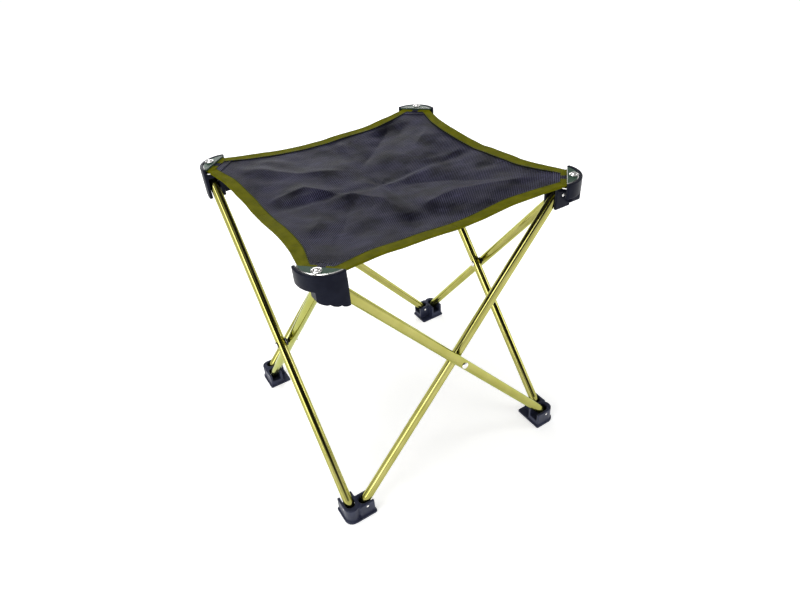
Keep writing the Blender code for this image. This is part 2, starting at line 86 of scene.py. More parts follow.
SEAT_SAG = 0.014
CLOTH_THICKNESS = 0.0007
PATCH_THICKNESS = 0.0004
CLOTH_STEPS = 84  # of a quarter's grid, each way
TAPE_WIDTH = 0.0108
TAPE_HALF = 0.0009  # half the thickness of the folded tape
CHORD_LINE = 2 * HALF_RUN + 0.0117  # the hub's seat side is the line x + y = -CHORD_LINE
HALF_SEAT = 0.110  # from the middle line to the edge, at mid-side
SPREAD = 0.0022  # how much further out the edge is SPREAD_LENGTH along it
SPREAD_LENGTH = 0.093
FLARE = 0.0046  # and how much further still beside the hub
PATCH_REACH = 0.011  # how far the doubled cloth runs from the hub
TAB_CLAMPED = 0.0012  # how much of the seat's clamped end lies under the top plate
TAB_LENGTH = 0.0048  # and how much runs on over the lower plate
SEAM_LENGTH = 0.1005  # of each half tape, from mid-side
SEAM_INSET = 0.0006  # of the seam from the tape's inner edge
FLARE_LENGTH = 0.046  # the length of edge that flares
IN_TAPE = 0.0012  # from the tape's outer edge to the cloth's, inside the tape
CHORD_HALF = 0.0149  # half the width of the cloth where it goes between the plates

RIB_PITCH = 0.0009  # of the tape's ribs
# a glowing white sweep, as under a product on a light table, with the glow a little weaker under the stool:
# painted shade
GLOW_NEAR_PAINTED_SHADE = 0.50
GLOW_FAR = 0.68
NOISE_SEED = Vector((3.1, 7.7, 1.9))
OUTWARD = math.radians(225)  # the direction from the seat's middle to corner 0


def quarter(k):
    """The turn about Z that carries corner 0 to corner k, and side 0 to side k."""
    return Matrix.Rotation(math.radians(90 * k), 4, "Z")


# ---------------------------------------------------------------- material helpers


def blank(name):
    made = bpy.data.materials.new(name)
    made.use_nodes = True
    return made, made.node_tree, made.node_tree.nodes["Principled BSDF"]


def node(tree, kind, **settings):
    made = tree.nodes.new(kind)
    for key, value in settings.items():
        if key in made.inputs:
            made.inputs[key].default_value = value
        else:
            setattr(made, key, value)
    return made


def noise_at(tree, coords, scale, detail=4.0, stretch=(1, 1, 1)):
    mapping = node(tree, "ShaderNodeMapping", Scale=stretch)
    tree.links.new(coords, mapping.inputs["Vector"])
    made = node(tree, "ShaderNodeTexNoise", Scale=scale, Detail=detail)
    tree.links.new(mapping.outputs["Vector"], made.inputs["Vector"])
    return made.outputs["Fac"]


def ramp(tree, value, stops):
    made = node(tree, "ShaderNodeValToRGB")
    elements = made.color_ramp.elements
    while len(elements) < len(stops):
        elements.new(0.5)
    for element, (position, colour) in zip(elements, stops):
        element.position = position
        element.color = (*colour, 1.0)
    tree.links.new(value, made.inputs["Fac"])
    return made.outputs["Color"]


def grey(value):
    return (value, value, value)


def maths(tree, operation, first, second=None, third=None):
    made = node(tree, "ShaderNodeMath", operation=operation)
    for i, value in enumerate((first, second, third)):
        if value is None:
            continue
        if isinstance(value, (int, float)):
            made.inputs[i].default_value = value
        else:
            tree.links.new(value, made.inputs[i])
    return made.outputs["Value"]


def bump(tree, height, distance, strength=1.0, normal=None):
    made = node(tree, "ShaderNodeBump", Strength=strength, Distance=distance)
    tree.links.new(height, made.inputs["Height"])
    if normal is not None:
        tree.links.new(normal, made.inputs["Normal"])
    return made.outputs["Normal"]


def object_coords(tree):
    return node(tree, "ShaderNodeTexCoord").outputs["Object"]


# ---------------------------------------------------------------- materials


def anodised_material():
    """Olive-gold anodising: fine drawing lines along the tube, which lies along its UV map's V."""
    made, tree, shader = blank("anodised_olive_gold")
    uv = node(tree, "ShaderNodeTexCoord").outputs["UV"]
    lines = noise_at(tree, uv, 60.0, 3.0, (40.0, 0.6, 1.0))
    patches = noise_at(tree, object_coords(tree), 45.0, 3.0)
    tone = ramp(tree, patches, [(0.3, (0.34, 0.325, 0.082)), (0.7, (0.43, 0.405, 0.135))])
    tree.links.new(tone, shader.inputs["Base Color"])
    rough = maths(tree, "MULTIPLY_ADD", lines, 0.05, 0.07)
    tree.links.new(rough, shader.inputs["Roughness"])
    tree.links.new(bump(tree, lines, 0.00002, 0.5), shader.inputs["Normal"])
    shader.inputs["Metallic"].default_value = 1.0
    shader.inputs["Specular Tint"].default_value = (0.78, 0.84, 0.55, 1.0)
    return made


def plastic_material(name, lightness):
    """Moulded blue-black plastic with a fine spark-eroded grain and rubbed patches."""
    made, tree, shader = blank(name)
    coords = object_coords(tree)
    grain = noise_at(tree, coords, 2600.0, 2.0)
    wear = noise_at(tree, coords, 130.0, 5.0)
    dark, rubbed = Vector((0.0045, 0.0052, 0.0110)), Vector((0.0085, 0.0098, 0.0185))
    tone = ramp(tree, wear, [(0.35, dark * lightness), (0.72, rubbed * lightness)])
    tree.links.new(tone, shader.inputs["Base Color"])
    tree.links.new(maths(tree, "MULTIPLY_ADD", wear, 0.22, 0.26), shader.inputs["Roughness"])
    tree.links.new(bump(tree, grain, 0.00006, 0.5), shader.inputs["Normal"])
    shader.inputs["Specular IOR Level"].default_value = 0.08 * lightness
    shader.inputs["Specular Tint"].default_value = (0.75, 0.80, 1.0, 1.0)
    return made


def plate_paint_material():
    """Satin grey-green paint with a light orange peel and faint scuffs."""
    made, tree, shader = blank("satin_grey_green")
    coords = object_coords(tree)
    peel = noise_at(tree, coords, 900.0, 2.0)
    scuffs = noise_at(tree, coords, 260.0, 6.0, (1.0, 3.5, 1.0))
    dark, plain, scuffed = (0.016, 0.046, 0.027), (0.030, 0.070, 0.044), (0.075, 0.125, 0.085)
    tone = ramp(tree, scuffs, [(0.3, dark), (0.62, plain), (0.8, scuffed)])
    tree.links.new(tone, shader.inputs["Base Color"])
    tree.links.new(maths(tree, "MULTIPLY_ADD", scuffs, 0.25, 0.28), shader.inputs["Roughness"])
    tree.links.new(bump(tree, peel, 0.00004, 0.6), shader.inputs["Normal"])
    shader.inputs["Metallic"].default_value = 0.1
    shader.inputs["Specular IOR Level"].default_value = 0.25
    return made


def steel_material():
    """Bright plated steel with fine scratches."""
    made, tree, shader = blank("bright_plated_steel")
    coords = object_coords(tree)
    scratches = noise_at(tree, coords, 700.0, 4.0, (1.0, 6.0, 1.0))
    clouds = noise_at(tree, coords, 220.0, 3.0)
    tone = ramp(tree, clouds, [(0.3, (0.70, 0.69, 0.67)), (0.75, (0.88, 0.87, 0.85))])
    tree.links.new(tone, shader.inputs["Base Color"])
    tree.links.new(maths(tree, "MULTIPLY_ADD", scratches, 0.2, 0.12), shader.inputs["Roughness"])
    tree.links.new(bump(tree, scratches, 0.00003, 0.4), shader.inputs["Normal"])
    shader.inputs["Metallic"].default_value = 1.0
    return made


def weave_height(tree, uv, pitch):
    """A plain weave's height, and its chessboard: 1 where the weft is on top and -1 where the warp is."""
    split = node(tree, "ShaderNodeSeparateXYZ")
    tree.links.new(uv, split.inputs["Vector"])
    across = maths(tree, "MULTIPLY", split.outputs["X"], math.pi / pitch)
    along = maths(tree, "MULTIPLY", split.outputs["Y"], math.pi / pitch)
    sine_x = maths(tree, "SINE", across)
    sine_y = maths(tree, "SINE", along)
    chess = maths(tree, "MULTIPLY", sine_x, sine_y)
    threads = maths(tree, "ADD", maths(tree, "ABSOLUTE", sine_x), maths(tree, "ABSOLUTE", sine_y))
    height = maths(tree, "ADD", maths(tree, "MULTIPLY", threads, 0.5), maths(tree, "MULTIPLY", chess, 0.5))
    return height, chess


def cloth_material(name, pitch, lightness):
    """Charcoal-navy plain weave: a painted glint on the weft threads on top, in cloudy patches of painted
    sheen.
    """
    made, tree, shader = blank(name)
    uv = node(tree, "ShaderNodeTexCoord").outputs["UV"]
    height, chess = weave_height(tree, uv, pitch)
    clouds = noise_at(tree, uv, 38.0, 5.0)
    slub = noise_at(tree, uv, 420.0, 2.0, (0.12, 1.0, 1.0))
    on_top = maths(tree, "MAXIMUM", chess, 0.0)
    # painted glint: the base colour is lighter where the weft is on top, strongest in cloudy patches of
    # painted sheen
    painted_glint = maths(tree, "MULTIPLY", on_top, maths(tree, "MULTIPLY", clouds, clouds))
    ground = maths(tree, "MULTIPLY_ADD", clouds, 0.5, maths(tree, "MULTIPLY", slub, 0.25))
    shade = maths(tree, "MULTIPLY_ADD", painted_glint, 2.0, ground)
    # bright is the colour of the painted glint; deep and ground_tone are the cloth's own tones
    deep, ground_tone, bright = (0.0010, 0.0010, 0.0034), (0.0024, 0.0024, 0.0066), (0.072, 0.069, 0.124)
    stops = zip((0.22, 0.44, 0.80), (deep, ground_tone, bright))
    lit = [(position, tuple(lightness * c for c in colour)) for position, colour in stops]
    tree.links.new(ramp(tree, shade, lit), shader.inputs["Base Color"])
    tree.links.new(maths(tree, "MULTIPLY_ADD", clouds, 0.3, 0.24), shader.inputs["Roughness"])
    threads = bump(tree, height, 0.0002, 0.7)
    tree.links.new(bump(tree, clouds, 0.0012, 0.35, threads), shader.inputs["Normal"])
    shader.inputs["Specular IOR Level"].default_value = 0.035
    shader.inputs["Specular Tint"].default_value = (0.74, 0.74, 1.0, 1.0)
    return made


def tape_material():
    """Olive grosgrain: ribs across the tape, which runs along its UV map's U, and a dark inner edge, partly
    the seam's line and partly painted shadow.
    """
    made, tree, shader = blank("olive_grosgrain")
    uv = node(tree, "ShaderNodeTexCoord").outputs["UV"]
    split = node(tree, "ShaderNodeSeparateXYZ")
    tree.links.new(uv, split.inputs["Vector"])
    turns = maths(tree, "MULTIPLY", split.outputs["X"], math.pi / RIB_PITCH)
    ribs = maths(tree, "ABSOLUTE", maths(tree, "SINE", turns))
    fuzz = noise_at(tree, uv, 1500.0, 3.0)
    clouds = noise_at(tree, uv, 90.0, 4.0)
    plain = maths(tree, "ADD", maths(tree, "MULTIPLY", ribs, 0.3), maths(tree, "MULTIPLY", clouds, 0.7))
    inset = maths(tree, "DIVIDE", split.outputs["Y"], TAPE_WIDTH)
    # a darker band along the inner edge: partly the seam's line, partly painted shadow under the tape's thick
    # edge
    seam_and_painted_shadow = ramp(tree, inset, [(0.86, grey(1.0)), (0.95, grey(0.12))])
    shade = maths(tree, "MULTIPLY", plain, seam_and_painted_shadow)
    # the darkest stop gives the painted shadow along the inner edge
    olives = [(0.05, (0.004, 0.006, 0.001)), (0.3, (0.062, 0.066, 0.001))]
    olives += [(0.55, (0.100, 0.101, 0.002)), (0.8, (0.155, 0.150, 0.004))]
    tone = ramp(tree, shade, olives)
    tree.links.new(tone, shader.inputs["Base Color"])
    shader.inputs["Roughness"].default_value = 0.72
    raised = bump(tree, ribs, 0.00012, 0.7)
    tree.links.new(bump(tree, fuzz, 0.00005, 0.6, raised), shader.inputs["Normal"])
    shader.inputs["Specular IOR Level"].default_value = 0.04
    shader.inputs["Specular Tint"].default_value = (1.0, 1.0, 0.35, 1.0)
    return made


def thread_material(name, dark, light):
    """Twisted sewing thread: diagonal plies and a little fluff."""
    made, tree, shader = blank(name)
    coords = object_coords(tree)
    twist = noise_at(tree, coords, 3200.0, 2.0, (1.0, 0.35, 1.0))
    tree.links.new(ramp(tree, twist, [(0.3, dark), (0.7, light)]), shader.inputs["Base Color"])
    tree.links.new(bump(tree, twist, 0.00008, 0.7), shader.inputs["Normal"])
    shader.inputs["Roughness"].default_value = 0.6
    return made


def floor_material():
    """Pale and matt, with a glow that is weaker near the stool as painted shade, so that soft shadows still
    show there.
    """
    made, tree, shader = blank("pale_floor")
    speckle = noise_at(tree, object_coords(tree), 240.0, 3.0)
    tone = ramp(tree, speckle, [(0.3, grey(0.90)), (0.7, grey(0.93))])
    tree.links.new(tone, shader.inputs["Base Color"])
    shader.inputs["Roughness"].default_value = 0.75
    shader.inputs["Emission Color"].default_value = (1, 1, 1, 1)
    distance = node(tree, "ShaderNodeVectorMath", operation="LENGTH")
    tree.links.new(object_coords(tree), distance.inputs[0])
    # glow from the floor, weaker near the stool: painted shade under it
    glow_with_painted_shade = ramp(tree, distance.outputs["Value"], [(0.25, grey(GLOW_NEAR_PAINTED_SHADE)), (0.9, grey(GLOW_FAR))])
    tree.links.new(glow_with_painted_shade, shader.inputs["Emission Strength"])
    return made


anodised = anodised_material()
plastic = plastic_material("moulded_blue_black", 1.0)
foot_plastic = plastic_material("moulded_blue_grey", 3.3)
paint = plate_paint_material()
steel = steel_material()
cloth = cloth_material("charcoal_navy_weave", 0.00095, 1.0)
patch_cloth = cloth_material("charcoal_navy_patch", 0.00105, 1.4)
tape = tape_material()
dark_thread = thread_material("dark_thread", (0.008, 0.010, 0.006), (0.030, 0.034, 0.018))

# ---------------------------------------------------------------- mesh helpers


def mesh_object(name, verts, faces, look, uvs=None):
    """A new object. uvs gives each point its place on the flat material, in metres."""
    made = bpy.data.meshes.new(name)
    made.from_pydata([tuple(v) for v in verts], [], faces)
    made.materials.append(look)
    if uvs is not None:
        layer = made.uv_layers.new(name="flat")
        for loop in made.loops:
            layer.data[loop.index].uv = uvs[loop.vertex_index]
    made.shade_smooth()
    obj = bpy.data.objects.new(name, made)
    bpy.context.scene.collection.objects.link(obj)
    return obj


def fix_normals(obj):
    """Turns every face outwards."""
    shape = bmesh.new()
    shape.from_mesh(obj.data)
    bmesh.ops.recalc_face_normals(shape, faces=shape.faces)
    shape.to_mesh(obj.data)
    shape.free()
    return obj


def turned(name, profile, look, steps=48):
    """A profile of (radius, height) points turned round Z; a radius of 0 closes it on the axis."""
    verts, faces, rings = [], [], []
    for radius, height in profile:
        if radius == 0:
            rings.append([len(verts)] * steps)
            verts.append((0, 0, height))
            continue
        rings.append(list(range(len(verts), len(verts) + steps)))
        for i in range(steps):
            angle = 2 * math.pi * i / steps
            verts.append((radius * math.cos(angle), radius * math.sin(angle), height))
    for below, above in zip(rings, rings[1:]):
        for i in range(steps):
            j = (i + 1) % steps
            corners = list(dict.fromkeys((below[i], below[j], above[j], above[i])))
            if len(corners) > 2:
                faces.append(corners)
    return fix_normals(mesh_object(name, verts, faces, look))


# ---------------------------------------------------------------- moulded hubs and feet


def mould(name, look):
    """Rounds a plastic node's edges as a mould does: fine voxels, then a little smoothing."""
    obj = frame["nodes"][name]
    remesh = obj.modifiers.new("skin", "REMESH")
    remesh.mode = "VOXEL"
    remesh.voxel_size = 0.00034
    remesh.use_smooth_shade = True
    soften = obj.modifiers.new("soften", "SMOOTH")
    soften.factor = 0.5
    soften.iterations = 4
    obj.data.materials[0] = look


def dress(name, look):
    """A CAD node keeps its own shape and gets a material of this file."""
    frame["nodes"][name].data.materials.clear()
    frame["nodes"][name].data.materials.append(look)


# ---------------------------------------------------------------- tubes


def leg_tube(name, start, end, body):
    """A drawn tube with rounded lips, hollow right through."""
    radius, wall, lip = 0.00425, 0.0008, 0.00018
    half = (end - start).length / 2
    steps, rows = 48, 40
    profile = [(radius - wall, -half + lip), (radius - wall + lip, -half)]
    profile += [(radius - lip, -half), (radius, -half + lip)]
    profile += [(radius, -half + lip + (2 * half - 2 * lip) * i / rows) for i in range(1, rows)]
    profile += [(r, -z) for r, z in reversed(profile[:4])]
    verts, faces, uvs = [], [], []
    for r, z in profile:
        for i in range(steps):
            angle = 2 * math.pi * i / steps
            verts.append((r * math.cos(angle), r * math.sin(angle), z))
            uvs.append((radius * angle, z))
    for row in range(len(profile)):
        above = (row + 1) % len(profile)
        for i in range(steps):
            j = (i + 1) % steps
            faces.append((row * steps + i, row * steps + j, above * steps + j, above * steps + i))
    obj = fix_normals(mesh_object(name, verts, faces, anodised, uvs))
    turn = (end - start).to_track_quat("Z", "Y").to_matrix().to_4x4()
    obj.matrix_world = Matrix.Translation((start + end) / 2) @ turn
    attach(obj, body)
    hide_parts(body)
    return obj


def legs():
    past_pin = 0.0022
    for k, side in enumerate(SIDES):
        for kind, plane, lean in (("outer", OUTER_PLANE, -1), ("inner", INNER_PLANE, 1)):
            foot = Vector((-lean * HALF_RUN, -HALF_RUN - plane, FOOT_Z))
            hub = Vector((lean * HALF_RUN, -HALF_RUN - plane, HUB_Z))
            more = (hub - foot).normalized() * past_pin
            start, end = quarter(k) @ (foot - more), quarter(k) @ (hub + more)
            leg_tube(f"tube_{side}_{kind}", start, end, f"leg_{side}_{kind}")


# ---------------------------------------------------------------- plates and rivets


def plate_outline(radius, line, steps=40):
    """The D shape of a clamp plate, in the corner's own axes with the pin point as origin."""
    centre = 0.0015
    away = (2 * centre + line) / math.sqrt(2)
    half = math.acos(away / radius)
    start = OUTWARD - half
    angles = [start + 2 * half * i / steps for i in range(steps + 1)]
    return [Vector((centre + radius * math.cos(a), centre + radius * math.sin(a))) for a in angles]


def top_plate(k, corner):
    """The painted plate with a bare bevel round it."""
    chord = CHORD_LINE - 2 * HALF_RUN
    bevel = 0.0003
    bare = 0.0006  # the bevel's width round the arc, bare metal
    bare_chord = 0.00025  # and along the straight side
    radius = 0.0192
    outline = plate_outline(radius, chord)
    inside = plate_outline(radius - bare, chord + bare_chord * math.sqrt(2))
    rows = [(outline, PLATE_LOW), (outline, PLATE_HIGH - bevel), (inside, PLATE_HIGH)]
    verts, faces, looks = [], [], []
    for points, z in rows:
        verts += [(p.x - HALF_RUN, p.y - HALF_RUN, z) for p in points]
    count = len(outline)
    for row in range(2):
        for i in range(count):
            j = (i + 1) % count
            faces.append((row * count + i, row * count + j, (row + 1) * count + j, (row + 1) * count + i))
            looks.append(row)
    faces.append(tuple(range(2 * count, 3 * count)))
    faces.append(tuple(reversed(range(count))))
    looks += [0, 0]
    obj = mesh_object(f"painted_plate_{corner}", verts, faces, paint)
    obj.data.materials.append(steel)
    for face, look in zip(obj.data.polygons, looks):
        face.material_index = look
        face.use_smooth = False
    fix_normals(obj)
    obj.matrix_world = quarter(k)
    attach(obj, f"hub_{corner}")
    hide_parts(f"clamp_top_plate_{corner}")


def seat_rivet(k, corner):
    """A rivet head in two tiers: a low rolled flange, and a dome on it."""
    flange = (RIVET_HIGH.x - RIVET_LOW.x) / 2
    dome = 0.72 * flange
    head = PLATE_HIGH + 0.00015
    shelf = head + 0.0009
    roll = 0.0004
    shank, shank_end = 0.0015, head - 0.006
    profile = [(0, shank_end), (shank, shank_end), (shank, head)]
    profile += [(flange - roll, head), (flange, head + roll)]
    for i in range(1, 5):
        angle = math.pi / 2 * i / 4
        reach = flange - roll + roll * math.cos(angle)
        profile.append((reach, shelf - roll + roll * math.sin(angle)))
    for i in range(11):
        angle = math.pi / 2 * i / 11
        profile.append((dome * math.cos(angle), shelf + (RIVET_TOP - shelf) * math.sin(angle)))
    profile.append((0, RIVET_TOP - 0.00002))
    obj = turned(f"domed_rivet_{corner}", profile, steel)
    obj.matrix_world = quarter(k) @ Matrix.Translation((RIVET_SPOT.x, RIVET_SPOT.y, 0))
    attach(obj, f"hub_{corner}")
    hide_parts(f"seat_rivet_{corner}")


# ---------------------------------------------------------------- the seat


# Creases that the folded cloth keeps, in metres from the seat's middle: (points along it, height, reach to
# each side)
CREASES = (
    (((-0.110, 0.014), (-0.060, 0.020), (-0.032, -0.009), (-0.018, -0.034), (-0.014, -0.063)), 0.0046, 0.011),
    (((-0.014, -0.063), (0.036, -0.060), (0.100, -0.090)), 0.0041, 0.014),
    (((-0.003, 0.034), (0.030, 0.062), (0.076, 0.104)), -0.0032, 0.010),
    (((-0.003, 0.036), (0.006, -0.005), (0.052, -0.002), (0.100, 0.012)), 0.0035, 0.010),
    (((-0.014, -0.063), (-0.026, -0.104)), -0.0035, 0.013),
    (((-0.096, 0.090), (-0.050, 0.048), (-0.003, 0.034)), 0.0027, 0.013),
    (((-0.094, -0.090), (-0.056, -0.044), (-0.032, -0.009)), -0.0030, 0.014),
    (((0.014, 0.104), (0.002, 0.066), (-0.003, 0.036)), 0.0024, 0.012),
    (((0.094, -0.090), (0.050, -0.034), (0.006, -0.005)), -0.0030, 0.014),
    (((0.052, -0.002), (0.064, 0.042), (0.100, 0.070)), 0.0024, 0.013),
    (((-0.060, 0.020), (-0.070, -0.030), (-0.094, -0.060)), 0.0022, 0.012),
)
RELIEF_STEP = 0.001
RELIEF_HALF = 118  # the relief grid runs this many steps from the middle each way


def fade(value, low, high):
    """0 below low, 1 above high, smooth between."""
    t = min(1.0, max(0.0, (value - low) / (high - low)))
    return t * t * (3 - 2 * t)


def crease_height(x, y, points, height, reach):
    """A fold's ridge, or its furrow where height is negative: a soft tent that dies away at both ends."""
    nearest, share = 1.0, 0.0
    for i, ((ax, ay), (bx, by)) in enumerate(zip(points, points[1:])):
        dx, dy = bx - ax, by - ay
        t = min(1.0, max(0.0, ((x - ax) * dx + (y - ay) * dy) / (dx * dx + dy * dy)))
        away = math.hypot(x - ax - t * dx, y - ay - t * dy)
        if away < nearest:
            nearest, share = away, (i + t) / (len(points) - 1)
    ends = fade(share, -0.05, 0.3) * (1 - fade(share, 0.7, 1.05))
    return height * ends * math.exp(-math.sqrt(nearest**2 + 0.0009**2) / reach)


def relief_at(x, y):
    """Height of creases and puckers at a point of the whole seat, less under the tapes and at the hubs."""
    inside = HALF_SEAT - TAPE_WIDTH - max(abs(x), abs(y))
    reach = (abs(x) + abs(y)) / math.sqrt(2)
    from_middle_lines = min(abs(x), abs(y))
    place = Vector((x, y, 0.0))
    soft = 0.0016 * noise.noise(place * 24 + NOISE_SEED)
    fine = 0.0005 * noise.noise(place * 75 + NOISE_SEED)
    spread = (abs(x) - abs(y)) / max(reach, 0.03)
    pull = 0.00045 * math.sin(spread * 19) * fade(reach, 0.06, 0.12)
    creases = sum(crease_height(x, y, *crease) for crease in CREASES)
    slow = 0.0019 * noise.noise(place * 21 - NOISE_SEED) * (1 - fade(reach, 0.108, 0.132))
    keep = fade(inside, 0.0, 0.014) * (1 - fade(reach, 0.126, 0.140))
    keep *= 0.45 + 0.55 * fade(from_middle_lines, 0.0, 0.010)
    return slow + keep * (soft + fine + pull + creases)


RELIEF = [
    [relief_at(i * RELIEF_STEP, j * RELIEF_STEP) for i in range(-RELIEF_HALF, RELIEF_HALF + 1)]
    for j in range(-RELIEF_HALF, RELIEF_HALF + 1)
]


def wrinkle(x, y):
    """The relief, read smoothly from its grid."""
    limit = 2 * RELIEF_HALF - 1e-6
    column = min(limit, max(0.0, x / RELIEF_STEP + RELIEF_HALF))
    row = min(limit, max(0.0, y / RELIEF_STEP + RELIEF_HALF))
    i, j = int(column), int(row)
    u, v = column - i, row - j
    low = RELIEF[j][i] * (1 - u) + RELIEF[j][i + 1] * u
    high = RELIEF[j + 1][i] * (1 - u) + RELIEF[j + 1][i + 1] * u
    return low * (1 - v) + high * v


def seat_height(x, y):
    """The seat's middle surface: the slope from the hubs down to the seat's middle, and the wrinkles."""
    rounded = math.sqrt(x * x + 0.000009) + math.sqrt(y * y + 0.000009) - 0.006
    share = rounded / (2 * FOLD_LINE)
    return CLOTH_Z - SEAT_SAG * (1 - share) + wrinkle(x, y)


def seat_normal(x, y):
    """The smooth surface's upward direction, the same for the two quarters that meet at a point."""
    step = RELIEF_STEP
    slope_x = (seat_height(x + step, y) - seat_height(x - step, y)) / (2 * step)
    slope_y = (seat_height(x, y + step) - seat_height(x, y - step)) / (2 * step)
    return Vector((-slope_x, -slope_y, 1)).normalized()


def edge_offset(along):
    """How far the seat's edge lies from the middle line: hollow at mid-side, flared beside the hub."""
    share = min(1.0, along / SPREAD_LENGTH)
    corner = FOLD_LINE - CHORD_HALF / math.sqrt(2)
    flare = min(1.0, max(0.0, 1 - (corner - along) / FLARE_LENGTH))
    return HALF_SEAT + SPREAD * share**3 + FLARE * flare**1.4


def along_end(offset):
    """Where a line at this offset from the middle line meets the fold line."""
    return 2 * FOLD_LINE - offset


def whole(k, x, y):
    """A point of the corner-0 quarter, turned to quarter k."""
    return (quarter(k) @ Vector((x, y, 0.0))).xy


def tape_width(along):
    """The tape's visible width: it is pulled narrower where it runs in to the plates."""
    corner = FOLD_LINE - CHORD_HALF / math.sqrt(2)
    return TAPE_WIDTH * (1 - 0.20 * fade(along, corner - 0.030, corner + 0.004))


def wander(along, k, mirror):
    """How far the sewn tape strays from its line; nothing at mid-side and near the hub."""
    keep = fade(along, 0.0, 0.012) * (1 - fade(along, 0.070, 0.085))
    return keep * 0.0009 * noise.noise(Vector((along * 42, 5.0 * k + 2.6 * mirror, 0.5)))


def seat_point(along, inset, k, mirror):
    """A point of a half tape: along the side from its middle, and inset from the edge."""
    x, y = -along, -(edge_offset(along) + wander(along, k, mirror) - inset)
    if mirror:
        x, y = y, x
    return Vector((x, y, seat_height(*whole(k, x, y))))


def shared_normals(obj, k):
    """Gives a quarter the whole seat's normals, so that no line shows where two quarters meet."""
    normals = []
    for vertex, own in zip(obj.data.vertices, obj.data.vertex_normals):
        up = seat_normal(*whole(k, vertex.co.x, vertex.co.y))
        up = quarter(k).inverted().to_3x3() @ up
        normals.append(up if own.vector.z > 0 else -up)
    obj.data.normals_split_custom_set_from_vertices(normals)
    return obj


def sheet_faces(columns, rows):
    """Faces of a closed thin sheet: two grids of points, the second straight after the first, and the rim."""
    width = columns + 1
    count = width * (rows + 1)
    faces = []
    for j in range(rows):
        for i in range(columns):
            a = j * width + i
            faces.append((a, a + 1, a + width + 1, a + width))
    faces += [tuple(a + count for a in reversed(face)) for face in faces]
    ring = list(range(columns))
    ring += [j * width + columns for j in range(rows)]
    ring += [rows * width + i for i in range(columns, 0, -1)]
    ring += [j * width for j in range(rows, 0, -1)]
    faces += [(a, b, b + count, a + count) for a, b in zip(ring, ring[1:] + ring[:1])]
    return faces


def cloth_grid(k, name, steps, lifts, look):
    """Two faces of the cloth over the corner-0 quarter, at the given lifts off its middle surface."""
    reach = HALF_SEAT - 0.0005  # of the square grid, before it is drawn out to the seat's edges
    verts, uvs = [], []
    for lift in lifts:
        for j in range(steps + 1):
            for i in range(steps + 1):
                x, y = -reach * i / steps, -reach * j / steps
                drawn = (edge_offset(-y) - IN_TAPE) / reach, (edge_offset(-x) - IN_TAPE) / reach
                x, y = x * drawn[0], y * drawn[1]
                place = whole(k, x, y)
                verts.append(Vector((x, y, seat_height(*place) + lift)))
                uvs.append(tuple(place))
    return fix_normals(mesh_object(name, verts, sheet_faces(steps, steps), look, uvs))


def keep_side(obj, point, direction):
    """Cuts away what lies beyond a plane and closes the cut."""
    shape = bmesh.new()
    shape.from_mesh(obj.data)
    parts = [*shape.verts, *shape.edges, *shape.faces]
    cut = bmesh.ops.bisect_plane(shape, geom=parts, plane_co=point, plane_no=direction, clear_outer=True)
    loop = [part for part in cut["geom_cut"] if isinstance(part, bmesh.types.BMEdge)]
    bmesh.ops.edgeloop_fill(shape, edges=loop)
    shape.to_mesh(obj.data)
    shape.free()
    return obj


def cloth_quarter(k, corner):
    """One quarter of the stretched cloth, running in under the tape and up to the fold line."""
    half = CLOTH_THICKNESS / 2
    obj = cloth_grid(k, f"seat_cloth_{corner}", CLOTH_STEPS, (half, -half), cloth)
    keep_side(obj, (-FOLD_LINE, -FOLD_LINE, 0), (-1, -1, 0))
    return shared_normals(obj, k)


def patch_quarter(k, corner):
    """The doubled cloth beside the hub, sewn down along its inner edge."""
    lift = CLOTH_THICKNESS / 2
    lifts = (lift + PATCH_THICKNESS, lift - 0.0001)
    obj = cloth_grid(k, f"seat_patch_{corner}", CLOTH_STEPS, lifts, patch_cloth)
    keep_side(obj, (-FOLD_LINE, -FOLD_LINE, 0), (-1, -1, 0))
    inner = FOLD_LINE - PATCH_REACH / math.sqrt(2)
    keep_side(obj, (-inner, -inner, 0), (1, 1, 0))
    return shared_normals(obj, k)


def tape_quarter(k, corner):
    """Both half tapes of a quarter, each folded round the cloth's edge with a full round fold outside."""
    lip = TAPE_WIDTH - 0.0004  # from here the tape's inner edge thins to half
    section = [(TAPE_WIDTH, TAPE_HALF / 2), (lip, TAPE_HALF)]
    section += [(TAPE_WIDTH * (1 - i / 6), TAPE_HALF) for i in range(1, 6)]
    for i in range(9):
        angle = math.pi / 2 - math.pi * i / 8
        section.append((TAPE_HALF * (1 - math.cos(angle)), TAPE_HALF * math.sin(angle)))
    section += [(TAPE_WIDTH * i / 6, -TAPE_HALF) for i in range(1, 6)]
    section += [(lip, -TAPE_HALF), (TAPE_WIDTH, -TAPE_HALF / 2)]
    steps = 120
    verts, faces, uvs = [], [], []
    count = len(section)
    for mirror in (False, True):
        base = len(verts)
        for i in range(steps + 1):
            for full_inset, lift in section:
                limit = along_end(edge_offset(HALF_SEAT) - full_inset)
                along = limit * i / steps
                inset = full_inset * tape_width(along) / TAPE_WIDTH
                # whatever overshoots the fold line is held back on it
                along = min(along, along_end(edge_offset(along) - inset))
                point = seat_point(along, inset, k, mirror)
                wave = 1 + 0.16 * noise.noise(Vector((along * 110, inset * 60, 4.0 * k + 9.0 * mirror)))
                point.z += lift * wave
                verts.append(point)
                uvs.append((along, full_inset))
        for i in range(steps):
            for j in range(count):
                n = (j + 1) % count
                a, b = base + i * count, base + (i + 1) * count
                faces.append((a + j, a + n, b + n, b + j))
        faces.append(tuple(range(base, base + count)))
        faces.append(tuple(range(base + steps * count, base + (steps + 1) * count)))
    obj = mesh_object(f"seat_tape_{corner}", verts, faces, tape, uvs)
    for face in obj.data.polygons:
        face.use_smooth = len(face.vertices) == 4
    return fix_normals(obj)


